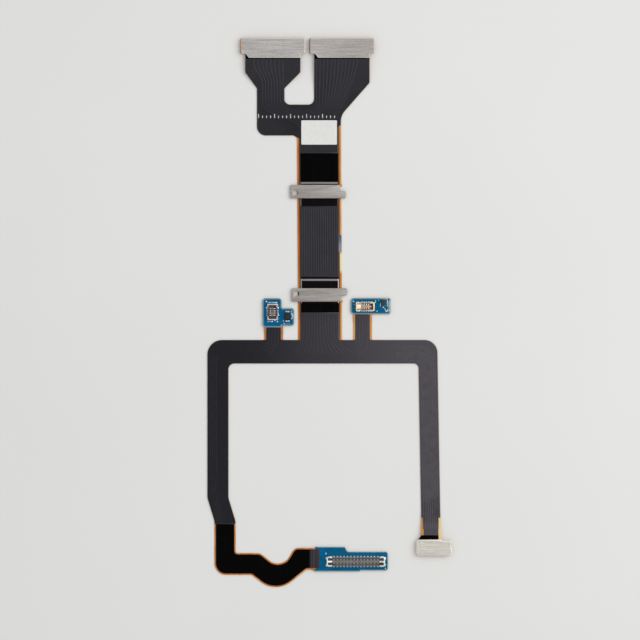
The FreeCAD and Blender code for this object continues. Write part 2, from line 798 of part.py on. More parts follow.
def bracket_face(side, shift):
    """Hinge bracket with a pin hole at its left and a notched ear at its right, the ear towards the middle."""
    middle = side * BRACKET_SPACING / 2
    inner = middle - side * BRACKET_HEIGHT / 2
    outer = middle + side * BRACKET_HEIGHT / 2
    ear_edge = inner + side * EAR_HEIGHT
    left = ribbon_edge(-1, middle) - BRACKET_OVERHANG + shift
    body_right = ribbon_edge(1, middle) - BRACKET_SHORT + shift
    ear_right = body_right + EAR_REACH
    face = rounded([
        (left, outer, BRACKET_CORNER),
        (body_right, outer, BRACKET_CORNER),
        (body_right, ear_edge, NOTCH_CORNER),
        (ear_right, ear_edge, EAR_CORNER),
        (ear_right, inner, EAR_CORNER),
        (left, inner, BRACKET_CORNER),
    ])
    centre = Vector(left + PIN_HOLE_INSET, middle - side * PIN_HOLE_DROP, 0)
    hole = Part.Face(Part.Wire(Part.Circle(centre, Vector(0, 0, 1), PIN_HOLE_RADIUS).toShape()))
    return face.cut(hole).Faces[0]


def block(width, depth, low, high, corner=0.0, x=0.0, y=0.0):
    """A block centred on (x, y), with its upright edges rounded."""
    return plate(rectangle(x - width / 2, y - depth / 2, width, depth, corner), low, high)


def strip(profile, width, at):
    """A bent metal strip: a side view in (outward, up), made width wide and centred at the distance at."""
    points = [Vector(at - width / 2, y, z) for y, z in profile]
    face = Part.Face(Part.makePolygon(points + [points[0]]))
    return face.extrude(Vector(width, 0, 0))


def turned(shape, quarter_turns):
    copy = shape.copy()
    copy.rotate(Vector(0, 0, 0), Vector(0, 0, 1), 90 * quarter_turns)
    return copy


def wrap_profile(outer, inner, height):
    """Side view of a strip that climbs a wall's outside and turns in over its top."""
    return [
        (outer, 0),
        (outer, height),
        (inner, height),
        (inner, height - CONTACT),
        (outer - CONTACT, height - CONTACT),
        (outer - CONTACT, 0),
    ]


def spring_profile(outer, island):
    """Side view of a socket contact: a foot, a floor that runs under the wall and a rise against the island."""
    return [
        (outer + CONTACT_FOOT, 0),
        (outer + CONTACT_FOOT, CONTACT),
        (island + CONTACT, CONTACT),
        (island + CONTACT, SPRING_HEIGHT),
        (island, SPRING_HEIGHT),
        (island, 0),
    ]


def contact_rows(profile, row, pitch, width):
    """Two facing rows of contacts."""
    solids = []
    for i in range(row):
        contact = strip(profile, width, (i - (row - 1) / 2) * pitch)
        solids.append(contact)
        solids.append(turned(contact, 2))
    return Part.makeCompound(solids)


def plug_fittings(length, reach, height, width):
    """The metal strip over each end of a plug."""
    profile = wrap_profile(length / 2, length / 2 - reach, height)
    fitting = turned(strip(profile, width, 0), 3)
    return Part.makeCompound([fitting, turned(fitting, 2)])


def hood(length, depth, reach, rib):
    """Metal hood over a socket's right end: walls, and a top that is open beside a rib over the trough."""
    end = length / 2
    shell_x = end - reach / 2
    window = reach - SOCKET_END_WALL
    window_x = end - reach + window / 2
    shell = block(reach, depth, 0, SOCKET_HEIGHT, 0, shell_x)
    inside = block(reach, depth - 2 * CONTACT, 0, SOCKET_HEIGHT - CONTACT, 0, shell_x - CONTACT)
    opening = block(window, depth - 2 * SOCKET_WALL, 0, SOCKET_HEIGHT, 0, window_x)
    if rib:
        opening = opening.cut(block(window, rib, 0, SOCKET_HEIGHT, 0, window_x))
    return shell.cut(inside).cut(opening)


def plug(row, pitch, width):
    """Housing, contacts and end fittings of a plug that stands on Z = 0."""
    field = row * pitch
    length = field + 2 * PLUG_END
    half = PLUG_DEPTH / 2
    contacts = contact_rows(wrap_profile(half, half - PLUG_WALL, PLUG_HEIGHT), row, pitch, width)
    fittings = plug_fittings(length, PLUG_END_WALL, PLUG_HEIGHT, PLUG_FITTING_WIDTH)
    trough_length = length - 2 * PLUG_END_WALL
    trough = block(trough_length, PLUG_DEPTH - 2 * PLUG_WALL, PLUG_FLOOR, PLUG_HEIGHT)
    housing = block(length, PLUG_DEPTH, 0, PLUG_HEIGHT, HOUSING_CORNER).cut(trough)
    band = block(field, PLUG_WALL, PLUG_HEIGHT - CONTACT, PLUG_HEIGHT, 0, 0, half - PLUG_WALL / 2)
    side = block(field, CONTACT, 0, PLUG_HEIGHT, 0, 0, half - CONTACT / 2)
    for cutter in (band, side):
        housing = housing.cut(cutter).cut(turned(cutter, 2))
    housing = housing.cut(fittings)
    return {"housing": housing, "contacts": contacts, "fittings": fittings}


def socket(row, pitch, width, depth, end, left_rib, right_rib):
    """Housing, contacts and hoods of a socket that stands on Z = 0."""
    field = row * pitch
    length = field + 2 * end
    half = depth / 2
    wall_inside = half - SOCKET_WALL
    island = ISLAND_WIDTH / 2
    contacts = contact_rows(spring_profile(half, island), row, pitch, width)
    left_hood = turned(hood(length, depth, end, left_rib), 2)
    fittings = Part.makeCompound([left_hood, hood(length, depth, end, right_rib)])
    trough = length - 2 * SOCKET_END_WALL
    cavity = block(trough, 2 * wall_inside, SOCKET_FLOOR, SOCKET_HEIGHT)
    island_block = block(field, ISLAND_WIDTH, SOCKET_FLOOR, ISLAND_HEIGHT)
    for side, rib in ((-1, left_rib), (1, right_rib)):
        if rib:
            rib_x = side * (trough + field) / 4
            rib_block = block((trough - field) / 2, rib, SOCKET_FLOOR, SOCKET_HEIGHT, 0, rib_x)
            island_block = island_block.fuse(rib_block)
    moat = block(field, wall_inside - island, 0, SOCKET_FLOOR, 0, 0, (wall_inside + island) / 2)
    passage = block(field, half - island, 0, CONTACT, 0, 0, (half + island) / 2)
    housing = block(length, depth, 0, SOCKET_HEIGHT).cut(cavity.cut(island_block))
    for cutter in (moat, passage):
        housing = housing.cut(cutter).cut(turned(cutter, 2))
    housing = housing.cut(fittings)
    return {"housing": housing, "contacts": contacts, "fittings": fittings}


def placed(pieces, x, y, z, upright=True, quarter_turns=0):
    """The pieces of a connector turned, hung upside down if not upright, and moved to their place."""
    result = {}
    for name, shape in pieces.items():
        moved = turned(shape, quarter_turns)
        if not upright:
            moved.rotate(Vector(0, 0, 0), Vector(1, 0, 0), 180)
        moved.translate(Vector(x, y, z))
        result[name] = moved
    return result


def chip(size, x, y, z):
    """A chip's body and its two end terminals."""
    width, length, height, end_width, end_length = size
    body = block(width, length, z, z + height, HOUSING_CORNER, x, y)
    shift = (length + end_length) / 2
    ends = [block(end_width, end_length, z, z + height, 0, x, y + side * shift) for side in (1, -1)]
    return {"chip_body": body, "chip_terminals": Part.makeCompound(ends)}


def lands(left, bottom, dots, bars, upright_bars, z):
    """Bare metal dots and bars on a board, at places measured from its lower left corner."""
    solids = []
    for x, y in dots:
        solids.append(block(DOT_SIZE, DOT_SIZE, z, z + PLATING, 0, left + x, bottom + y))
    for x, y, length in bars:
        width, depth = (BAR_WIDTH, length) if upright_bars else (length, BAR_WIDTH)
        solids.append(plate(rectangle(left + x, bottom + y, width, depth), z, z + PLATING))
    return Part.makeCompound(solids)


def films():
    """Every layer of the laminate by name."""
    base = base_face()
    upper = upper_shield_face()
    lower = lower_shield_face()
    ribbon = ribbon_strip(COVERLAY_TOP, -COVERLAY_BOTTOM, RIBBON_MARGIN)
    middle = ribbon_strip(MIDDLE_FILM_TOP, -MIDDLE_FILM_BOTTOM, RIBBON_MARGIN)
    tail = tail_coverlay_face()
    ends = [
        finger_end_face(left_plate_left),
        finger_end_face(right_plate_left),
        left_board_face(),
        right_board_face(),
        tail_board_face(),
        end_plate_face(),
    ]
    shield = (base_top, shield_top)
    cover = (base_top, coverlay_top)
    return {
        "base_film": laminate([base] + ends, 0, base_top),
        "upper_shield_film": laminate([upper], *shield),
        "lower_shield_film": laminate([lower], *shield),
        "ribbon_coverlay": laminate([ribbon], *cover),
        "middle_shield_film": laminate([middle], coverlay_top, coverlay_top + SHIELD_FILM),
        "edge_film_tab": laminate([edge_tab_face()], *shield),
        "tail_coverlay": laminate([tail], *cover),
        "tail_end_film": laminate([tail_end_face()], *shield),
        "leg_end_coverlay": laminate([leg_end_face()], *cover),
        "white_label": laminate([label_face()], shield_top, shield_top + LABEL),
        "left_branch_mask": laminate([left_board_face()], base_top, mask_top),
        "right_branch_mask": laminate([right_board_face()], base_top, mask_top),
        "tail_board_mask": laminate([tail_mask_face()], base_top, mask_top),
    }


def stiff_plates():
    """Steel plates on top of the laminate, and board plates under it."""
    top = PLUG_HEIGHT + base_top
    return {
        "left_top_stiffener": plate(top_plate_face(left_plate_left), top, top + TOP_PLATE),
        "right_top_stiffener": plate(top_plate_face(right_plate_left), top, top + TOP_PLATE),
        "lower_right_stiffener": plate(end_plate_face(), top, top + TOP_PLATE),
        "left_branch_stiffener": plate(left_board_face(), 0, BOARD_PLATE),
        "right_branch_stiffener": plate(right_board_face(), 0, BOARD_PLATE),
        "tail_board_stiffener": plate(tail_board_face(), 0, BOARD_PLATE),
    }


def brackets():
    """Both hinge brackets with the covered tape under each."""
    pieces = {}
    for name, side, rise, shift in (
        ("upper", 1, UPPER_TAPE_RISE, 0),
        ("lower", -1, LOWER_TAPE_RISE, LOWER_BRACKET_SHIFT),
    ):
        middle = side * BRACKET_SPACING / 2
        tape_edge = middle + rise
        tape_end = tape_edge - TAPE_HEIGHT
        tape = ribbon_strip(tape_edge, tape_end, RIBBON_MARGIN)
        cover = ribbon_strip(tape_edge - COVER_TOP_INSET, tape_end, RIBBON_MARGIN + COVER_SIDE_INSET)
        pieces[name + "_bracket_tape"] = plate(tape, coverlay_top, tape_top)
        pieces[name + "_tape_cover"] = plate(cover, tape_top, cover_top)
        pieces[name + "_hinge_bracket"] = plate(bracket_face(side, shift), cover_top, cover_top + BRACKET_PLATE)
    return pieces


def connectors():
    """Three plugs under the steel plates and three sockets on the boards, each in three named pieces."""
    plug_y = (plate_step + plate_top) / 2
    on_board = BOARD_PLATE + mask_top
    long_plug = plug(LONG_ROW_COUNT, LONG_PITCH, LONG_WIDTH)
    end_plug = plug(END_PLUG_ROW_COUNT, LONG_PITCH, LONG_WIDTH)
    tail = socket(LONG_ROW_COUNT, LONG_PITCH, LONG_WIDTH, TAIL_SOCKET_DEPTH, TAIL_SOCKET_END, RIB, RIB)
    branch_row = (BRANCH_ROW_COUNT, BRANCH_PITCH, BRANCH_WIDTH)
    left = socket(*branch_row, LEFT_SOCKET_DEPTH, LEFT_SOCKET_END, 0, 0)
    right = socket(*branch_row, RIGHT_SOCKET_DEPTH, RIGHT_SOCKET_END, WIDE_RIB, 0)
    half_plate = TOP_PLATE_WIDTH / 2
    end_x = end_plate_left + END_PLATE_WIDTH / 2
    end_y = right_leg_bottom - END_PLATE_DEPTH / 2
    tail_x = tail_board_left + TAIL_SOCKET_X
    tail_y = tail_board_bottom + TAIL_SOCKET_Y
    left_x = left_board_left + LEFT_SOCKET_PLACE[0]
    left_y = left_board_bottom + LEFT_SOCKET_PLACE[1]
    right_x = right_board_left + RIGHT_SOCKET_PLACE[0]
    right_y = right_board_bottom + RIGHT_SOCKET_PLACE[1]
    sets = {
        "left_top_plug": placed(long_plug, left_plate_left + half_plate, plug_y, PLUG_HEIGHT, False),
        "right_top_plug": placed(long_plug, right_plate_left + half_plate, plug_y, PLUG_HEIGHT, False),
        "lower_right_plug": placed(end_plug, end_x, end_y, PLUG_HEIGHT, False),
        "tail_socket": placed(tail, tail_x, tail_y, on_board),
        "left_branch_socket": placed(left, left_x, left_y, on_board, True, 1),
        "right_branch_socket": placed(right, right_x, right_y, on_board),
    }
    return {name + "_" + piece: shape for name, parts in sets.items() for piece, shape in parts.items()}


def board_parts():
    """Chips and bare lands of the three boards."""
    z = BOARD_PLATE + mask_top
    left_x = left_board_left + LEFT_CHIP_PLACE[0]
    left_y = left_board_bottom + LEFT_CHIP_PLACE[1]
    right_x = right_board_left + RIGHT_CHIP_PLACE[0]
    right_y = right_board_bottom + RIGHT_CHIP_PLACE[1]
    sets = {
        "left_branch": chip(CHIP, left_x, left_y, z),
        "right_branch": chip(SMALL_CHIP, right_x, right_y, z),
    }
    sets["left_branch"]["pads"] = lands(left_board_left, left_board_bottom, LEFT_DOTS, LEFT_BARS, False, z)
    sets["right_branch"]["pads"] = lands(right_board_left, right_board_bottom, RIGHT_DOTS, RIGHT_BARS, True, z)
    sets["tail_board"] = {"pads": lands(tail_board_left, tail_board_bottom, TAIL_DOTS, (), False, z)}
    return {name + "_" + piece: shape for name, parts in sets.items() for piece, shape in parts.items()}


def centred(pieces):
    """All pieces moved so that the middle of their footprint is the origin."""
    box = Part.makeCompound(list(pieces.values())).optimalBoundingBox(False)
    shift = Vector(-(box.XMin + box.XMax) / 2, -(box.YMin + box.YMax) / 2, -box.ZMin)
    for shape in pieces.values():
        shape.translate(shift)
    return pieces


pieces = {}
pieces.update(films())
pieces.update(stiff_plates())
pieces.update(brackets())
pieces.update(connectors())
pieces.update(board_parts())

os.makedirs("parts", exist_ok=True)
for node, shape in centred(pieces).items():
    shape.exportStep("parts/" + node + ".step")
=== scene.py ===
import json
import math
from collections import namedtuple

import bpy
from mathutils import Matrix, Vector


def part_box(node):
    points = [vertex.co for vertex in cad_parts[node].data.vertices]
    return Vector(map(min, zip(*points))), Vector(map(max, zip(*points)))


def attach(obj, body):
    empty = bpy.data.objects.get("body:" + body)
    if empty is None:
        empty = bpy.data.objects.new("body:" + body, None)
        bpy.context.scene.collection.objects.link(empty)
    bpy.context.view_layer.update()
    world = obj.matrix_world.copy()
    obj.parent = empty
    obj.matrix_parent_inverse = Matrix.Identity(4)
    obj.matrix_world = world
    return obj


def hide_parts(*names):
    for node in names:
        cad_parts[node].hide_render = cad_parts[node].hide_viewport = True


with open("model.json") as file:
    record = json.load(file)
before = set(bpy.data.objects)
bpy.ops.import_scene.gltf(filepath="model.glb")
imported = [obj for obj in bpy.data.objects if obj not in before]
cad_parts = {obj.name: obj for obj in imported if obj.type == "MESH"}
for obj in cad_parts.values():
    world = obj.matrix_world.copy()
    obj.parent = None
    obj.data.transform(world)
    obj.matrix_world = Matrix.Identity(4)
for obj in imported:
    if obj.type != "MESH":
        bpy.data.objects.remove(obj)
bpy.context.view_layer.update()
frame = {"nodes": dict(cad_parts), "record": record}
nodes = frame["nodes"]
slot_of = {part["node"]: part["material_slot"] for part in frame["record"]["subparts"]}

MM = 0.001                      # one millimetre in metres. Lengths below are in mm unless they say metres

# camera and light
CAMERA_SPOT = (-2.175, -1.635, 1200.0)  # straight above the cable
CAMERA_LENS = 300
CAMERA_SENSOR = 36
CAMERA_REACH = (0.01, 20.0)     # metres
SKY_SHARE = 0.68                # how much of the light comes from all round
LAMP_SHARE = 0.32               # and how much from the soft lamp
LAMP_SPOT = Vector((0.40, 0.16, 0.46))  # metres
LAMP_WIDTH = 0.6                # metres
FLOOR_WIDTH = 4.0               # metres
FLOOR_DROP = 0.01               # below what lies on it


# places read from the frame
def middle_of(node):
    low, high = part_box(node)
    middle = (low + high) / 2 / MM
    return round(middle.x, 2), round(middle.y, 2)


def foot_of(node):
    return round(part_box(node)[0].z / MM, 3)


def top_of(node):
    return round(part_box(node)[1].z / MM, 3)


FILM_TOP = top_of("ribbon_coverlay")
MASK_TOP = top_of("left_branch_mask")
BRACKET_TOP = top_of("lower_hinge_bracket")
CHIP_TOP = top_of("left_branch_chip_body")
PLATE_FOOT = foot_of("left_top_stiffener")
BRACKET_HOLES = [mount["pos_m"] for mount in frame["record"]["mounts"] if mount["kind"] == "bore"]

# a socket's middle, which way its rows run, contacts in a row, their pitch and width, and its half depth
Receptacle = namedtuple("Receptacle", "middle along_x row pitch contact half")
TAIL = Receptacle(middle_of("tail_socket_housing"), True, 14, 0.76, 0.34, 1.05)
LEFT = Receptacle(middle_of("left_branch_socket_housing"), False, 4, 0.5, 0.24, 1.15)
RIGHT = Receptacle(middle_of("right_branch_socket_housing"), True, 4, 0.5, 0.24, 0.95)

# where the colour of the films changes
RIBBON_MIDDLE = -2.4            # the ribbon's middle line at RIBBON_START
RIBBON_START = 39.9
RIBBON_LEAN = 0.0059            # to the right, for each mm down from there
STEMS = (-12.6, 7.4)            # the middles of the two side branches
RIGHT_HALF = (-3.0, 1.0)        # from the ribbon's left half to its right half
FRAME_SIDES = (-27.0, 25.0)     # from the frame's left leg to its right leg
TAPE_MIDDLE = -2.3
FRAME_TO_RIBBON = (-4.0, 8.0)


def clear_selection():
    bpy.ops.object.select_all(action="DESELECT")


def take(thing):
    clear_selection()
    thing.select_set(True)
    bpy.context.view_layer.objects.active = thing


def tint(code):
    """A colour given as it looks on a screen, as the shader's linear values."""
    def linear(part):
        value = int(part, 16) / 255
        return value / 12.92 if value <= 0.04045 else ((value + 0.055) / 1.055) ** 2.4
    return (linear(code[1:3]), linear(code[3:5]), linear(code[5:7]), 1.0)


camera = bpy.data.objects.new("camera", bpy.data.cameras.new("camera"))
camera.data.lens = CAMERA_LENS
camera.data.sensor_width = CAMERA_SENSOR
camera.data.clip_start, camera.data.clip_end = CAMERA_REACH
camera.location = Vector(CAMERA_SPOT) * MM
bpy.context.scene.collection.objects.link(camera)
bpy.context.scene.camera = camera
bpy.context.scene.view_settings.view_transform = "Standard"


class Socket:
    """A value inside a material. Arithmetic on it adds the Math nodes."""

    def __init__(self, paint, link):
        self.paint = paint
        self.link = link

    def math(self, operation, *values):
        return self.paint.node("ShaderNodeMath", {"operation": operation}, dict(enumerate(values)))

    def __add__(self, other):
        return self.math("ADD", self, other)

    __radd__ = __add__

    def __mul__(self, other):
        return self.math("MULTIPLY", self, other)

    __rmul__ = __mul__

    def __sub__(self, other):
        return self.math("SUBTRACT", self, other)

    def __rsub__(self, other):
        return self.math("SUBTRACT", other, self)

    def __abs__(self):
        return self.math("ABSOLUTE", self)

    def smaller(self, other):
        return self.math("MINIMUM", self, other)

    def rises(self, low, high):
        """0 below low, 1 above high, with a soft step between."""
        return self.paint.node("ShaderNodeMapRange", {"interpolation_type": "SMOOTHSTEP"},
                               {0: self, 1: low, 2: high})


class Paint:
    """One material with a Principled shader. Constants are set on the shader's own sockets."""

    def __init__(self, name, **constants):
        self.material = bpy.data.materials.new(name)
        self.material.use_nodes = True
        self.tree = self.material.node_tree
        self.shader = self.tree.nodes["Principled BSDF"]
        for socket, value in constants.items():
            self.shader.inputs[socket.replace("_", " ")].default_value = value
        corner = self.node("ShaderNodeTexCoord", output="Object")
        self.place = self.node("ShaderNodeVectorMath", {"operation": "SCALE"}, {0: corner, "Scale": 1 / MM})
        self.x = self.node("ShaderNodeSeparateXYZ", inputs={0: self.place}, output="X")
        self.y = self.node("ShaderNodeSeparateXYZ", inputs={0: self.place}, output="Y")
        self.z = self.node("ShaderNodeSeparateXYZ", inputs={0: self.place}, output="Z")

    def node(self, kind, settings=None, inputs=None, output=0):
        made = self.tree.nodes.new(kind)
        for name, value in (settings or {}).items():
            setattr(made, name, value)
        for name, value in (inputs or {}).items():
            if isinstance(value, Socket):
                self.tree.links.new(value.link, made.inputs[name])
            else:
                made.inputs[name].default_value = value
        return Socket(self, made.outputs[output])

    def stretched(self, x, y, z=1.0):
        return self.node("ShaderNodeVectorMath", {"operation": "MULTIPLY"}, {0: self.place, 1: (x, y, z)})

    def away_from(self, spot):
        return self.node("ShaderNodeVectorMath", {"operation": "DISTANCE"}, {0: self.place, 1: spot}, "Value")

    def noise(self, scale, detail, vector=None):
        return self.node("ShaderNodeTexNoise", {},
                         {"Vector": vector or self.place, "Scale": scale, "Detail": detail}, "Fac")

    def blend(self, factor, first, second, kind="MIX"):
        return self.node("ShaderNodeMix", {"data_type": "RGBA", "blend_type": kind},
                         {0: factor, 6: first, 7: second}, 2)

    def mark(self, name):
        """The piece's own attribute of that name, such as the strip along its outline."""
        return self.node("ShaderNodeAttribute", {"attribute_name": name}, output="Fac")

    def relief(self, height, depth):
        """Bump from a height of 0 to 1 that stands for a depth."""
        return self.node("ShaderNodeBump", {}, {"Height": height, "Strength": 1.0, "Distance": depth * MM},
                         "Normal")

    def finish(self, colour, roughness, normal=None):
        self.tree.links.new(colour.link, self.shader.inputs["Base Color"])
        self.tree.links.new(roughness.link, self.shader.inputs["Roughness"])
        if normal:
            self.tree.links.new(normal.link, self.shader.inputs["Normal"])
        return self.material


# finishes
def amber_film():
    """Polyimide with painted light: lighter on the right, highlights at its free edge, red-brown shadow
    beside the films that cover it, plain underneath.
    """
    paint = Paint("amber_polyimide", Specular_IOR_Level=0.3)
    streak = paint.noise(1.0, 2, paint.stretched(1.6, 0.22))
    patch = paint.noise(1.0, 1, paint.stretched(0.5, 0.13))
    # painted light: the right half is lighter, and its pale patches stronger, as if lit from the right
    right = paint.x.rises(*RIGHT_HALF)
    colour = paint.blend(right, tint("#b4671f"), tint("#cf8a30"))
    colour = paint.blend(streak.rises(0.42, 0.66) * 0.7, colour, tint("#d67c1c"))
    colour = paint.blend(patch.rises(0.5, 0.72) * (0.35 + 0.25 * right), colour, tint("#e2ae6c"))

    above_frame = paint.y.rises(-6.4, -6.0)
    top_side = paint.z.rises(0.08, 0.13)
    off_ribbon = abs(paint.x - RIBBON_MIDDLE - (RIBBON_START - paint.y) * RIBBON_LEAN)
    off_stems = abs(paint.x - STEMS[0]).smaller(abs(paint.x - STEMS[1]))
    # painted shadow: red-brown on the amber beside the films that cover it
    shade_beside_ribbon = (1.0 - off_ribbon.rises(4.42, 4.76)) * above_frame * (1.0 - paint.y.rises(49.0, 50.0))
    shade_beside_stems = (1.0 - off_stems.rises(1.66, 1.98)) * (1.0 - above_frame) * paint.y.rises(-12.6, -12.2)
    colour = paint.blend((shade_beside_ribbon + shade_beside_stems) * top_side * 0.9, colour, tint("#3f1c0b"))

    # painted highlight: cream on part of the ribbon's right free edge
    free_edge_highlight = paint.y.rises(8.6, 9.8) * (1.0 - paint.y.rises(13.0, 13.9)) * right * off_ribbon.rises(4.45, 4.65)
    colour = paint.blend(free_edge_highlight * 0.85, colour, tint("#f0e2ac"))
    # painted highlight on the end of the right leg
    leg_end = paint.x.rises(22.0, 24.4) * (1.0 - paint.y.rises(-46.0, -45.0)) * top_side
    colour = paint.blend(leg_end * 0.7, colour, tint("#f2d691"))
    # painted shadow: dark brown round the bracket holes
    for x, y, _ in BRACKET_HOLES:
        away = paint.away_from((x / MM, y / MM, FILM_TOP - 0.05))
        colour = paint.blend((1.0 - away.rises(0.75, 0.95)) * 0.9, colour, tint("#4a2314"))
    between_plates = paint.y.rises(55.0, 56.5) * paint.x.rises(-4.9, -4.6) * (1.0 - paint.x.rises(-4.1, -3.8))
    colour = paint.blend(between_plates * 0.85, colour, tint("#75625b"))
    grain = paint.noise(9.0, 2)
    return paint.finish(colour, 0.3 + 0.16 * streak, paint.relief(grain, 0.003))


def shield_film(name, cut, foot, head):
    """Satin grey film with painted light: lighter to the right on the frame, and a painted highlight along
    its cut edge by the share cut.
    """
    paint = Paint(name, Specular_IOR_Level=0.16)
    # painted light: on the frame the film is lighter towards the right
    across = paint.x.rises(*FRAME_SIDES)
    low = paint.blend(across.rises(0.0, 0.5), tint("#16151b"), tint("#333136"))
    low = paint.blend(across.rises(0.45, 1.0), low, tint("#4a464d"))
    upper = paint.blend(paint.y.rises(42.0, 57.0), tint(foot), tint(head))
    upper = paint.blend(paint.y.rises(36.9, 38.2), tint("#232227"), upper)
    upper = paint.blend(paint.noise(0.16, 1).rises(0.35, 0.65) * 0.4, upper, tint("#2e2d32"))
    colour = paint.blend(paint.y.rises(*FRAME_TO_RIBBON), low, upper)
    grain = paint.noise(9.0, 3)
    colour = paint.blend(grain.rises(0.5, 0.8) * 0.3, colour, tint("#56545a"))
    # painted highlight along the outline strip, strongest where it faces +X
    light = paint.mark("rim").rises(0.1, 0.8) * (0.15 + 0.85 * paint.mark("facing").rises(0.1, 0.7))
    colour = paint.blend(light * cut, colour, tint("#7d7b80"))
    cloud = paint.noise(0.5, 2)
    return paint.finish(colour, 0.46 + 0.12 * cloud, paint.relief(grain * 0.5 + cloud * 0.6, 0.004))


def lined_film():
    """The end of the tail's film, with the fine ribs of its traces across it."""
    paint = Paint("lined_film", Specular_IOR_Level=0.16)
    ribs = paint.noise(1.0, 2, paint.stretched(5.2, 0.05))
    colour = paint.blend(ribs.rises(0.36, 0.64), tint("#1c1b1f"), tint("#3c3a40"))
    colour = paint.blend(paint.noise(2.0, 2) * 0.4, colour, tint("#3a3036"))
    return paint.finish(colour, 0.5 + 0.1 * ribs, paint.relief(ribs, 0.02))


def tab_film():
    paint = Paint("tab_film", Specular_IOR_Level=0.3)
    fine = paint.noise(4.0, 2)
    colour = paint.blend(paint.y.rises(14.0, 17.2) - fine * 0.2, tint("#8b8c93"), tint("#4b4d66"))
    return paint.finish(colour, 0.4 + 0.2 * fine, paint.relief(fine, 0.004))


def trace_line():
    """Traces under the film: a little lighter than it, and lost where they turn towards the label."""
    paint = Paint("trace_line", Specular_IOR_Level=0.16)
    # painted light: on the frame the traces are lighter towards the right
    low = paint.blend(paint.x.rises(*FRAME_SIDES), tint("#1f1e24"), tint("#565259"))
    seen = paint.y.rises(44.0, 54.0) + (1.0 - paint.y.rises(26.0, 34.0))
    upper = paint.blend(seen, tint("#2a292e"), tint("#3c3b41"))
    colour = paint.blend(paint.y.rises(*FRAME_TO_RIBBON), low, upper)
    worn = paint.noise(0.7, 2)
    colour = paint.blend(worn.rises(0.35, 0.7) * 0.4, colour, tint("#2e2d32"))
    return paint.finish(colour, 0.46 + 0.12 * worn, paint.relief(paint.noise(9.0, 2), 0.003))


def black_film(name, dark, light, edge):
    paint = Paint(name, Specular_IOR_Level=0.02)
    grain = paint.noise(8.0, 3)
    crease = paint.noise(1.0, 2, paint.stretched(1.3, 0.12))
    worn = grain.rises(0.45, 0.8) * 0.5 + crease.rises(0.5, 0.8) * 0.4
    colour = paint.blend(worn, tint(dark), tint(light))
    # painted highlight: the strip along the outline is lighter, in the edge colour
    colour = paint.blend(paint.mark("rim").rises(0.2, 1.0) * 0.6, colour, tint(edge))
    return paint.finish(colour, 0.5 + 0.25 * grain, paint.relief(grain * 0.5 + crease, 0.008))


def blue_mask():
    """Solder mask that pools darker and lighter, with a pale painted highlight along the board's edge."""
    paint = Paint("blue_mask", Specular_IOR_Level=0.06)
    cloud = paint.noise(0.45, 3)
    fine = paint.noise(4.0, 2)
    colour = paint.blend(cloud.rises(0.35, 0.68), tint("#005775"), tint("#006196"))
    colour = paint.blend(fine.rises(0.5, 0.8) * 0.4, colour, tint("#147ba0"))
    colour = paint.blend((1.0 - fine.rises(0.3, 0.45)) * 0.35, colour, tint("#0a4057"))
    # painted highlight: the strip along the outline is pale
    colour = paint.blend(paint.mark("rim").rises(0.0, 0.3) * (0.7 + 0.3 * fine), colour, tint("#7d9ba2"))
    return paint.finish(colour, 0.3 + 0.15 * fine, paint.relief(cloud + fine * 0.3, 0.01))


def board_resin():
    paint = Paint("board_resin", Specular_IOR_Level=0.35)
    weave = paint.noise(6.0, 2, paint.stretched(1.0, 1.0, 6.0))
    colour = paint.blend(weave, tint("#6f7f74"), tint("#96a79c"))
    return paint.finish(colour, 0.4 + 0.2 * weave, paint.relief(weave, 0.01))


def brushed_steel(name, dark, light, edge, right_shade="#ffffff"):
    """Steel rolled along X: straight hair lines, a few flecks and a bright broken edge."""
    paint = Paint(name, Metallic=1.0)
    hair = paint.noise(1.0, 2, paint.stretched(0.12, 5.6))
    finer = paint.noise(1.0, 3, paint.stretched(0.5, 11.0))
    speck = paint.noise(1.0, 3, paint.stretched(1.6, 3.6))
    tone = hair.rises(0.32, 0.68) * 0.45 + finer.rises(0.3, 0.7) * 0.35 + speck.rises(0.3, 0.7) * 0.2
    colour = paint.blend(tone, tint(dark), tint(light))
    colour = paint.blend(speck.rises(0.62, 0.78) * 0.35, colour, tint(edge))
    colour = paint.blend(paint.mark("rim").rises(0.1, 0.9) * 0.5, colour, tint(edge))
    shade = paint.blend(paint.x.rises(-6.0, 6.0), tint("#ffffff"), tint(right_shade))
    colour = paint.blend(1.0, colour, shade, "MULTIPLY")
    return paint.finish(colour, 0.5 + 0.14 * finer, paint.relief(hair * 0.4 + finer * 0.6, 0.0015))


def pale_tape():
    """Fibrous tape. Its sides carry a pale painted highlight on the lower tape and are dark on the upper one.
    """
    paint = Paint("pale_tape", Specular_IOR_Level=0.3)
    fibre = paint.noise(1.0, 3, paint.stretched(0.5, 5.0))
    colour = paint.blend(fibre, tint("#6b6969"), tint("#979594"))
    side = abs(paint.x - TAPE_MIDDLE).rises(4.05, 4.15)
    upper = paint.y.rises(12.0, 14.0)
    # painted highlight: pale sides on the lower tape
    colour = paint.blend(side * (1.0 - upper) * 0.8, colour, tint("#d2cbc4"))
    colour = paint.blend(side * upper * (0.4 + 0.6 * paint.x.rises(*RIGHT_HALF)), colour, tint("#2a2322"))
    return paint.finish(colour, 0.5 + 0.2 * fibre, paint.relief(fibre, 0.006))


def paper_label():
    paint = Paint("paper_label", Specular_IOR_Level=0.25)
    fibre = paint.noise(2.2, 4)
    fine = paint.noise(12.0, 2)
    colour = paint.blend(fibre.rises(0.3, 0.7), tint("#e0e1dd"), tint("#e6e7e3"))
    colour = paint.blend(fine.rises(0.6, 0.8) * 0.25, colour, tint("#d6d6d2"))
    # painted highlight: the strip along the label's outline is lighter
    colour = paint.blend(paint.mark("rim").rises(0.3, 1.0) * 0.5, colour, tint("#efefec"))
    return paint.finish(colour, 0.6 + 0.15 * fibre, paint.relief(fibre + fine * 0.5, 0.004))


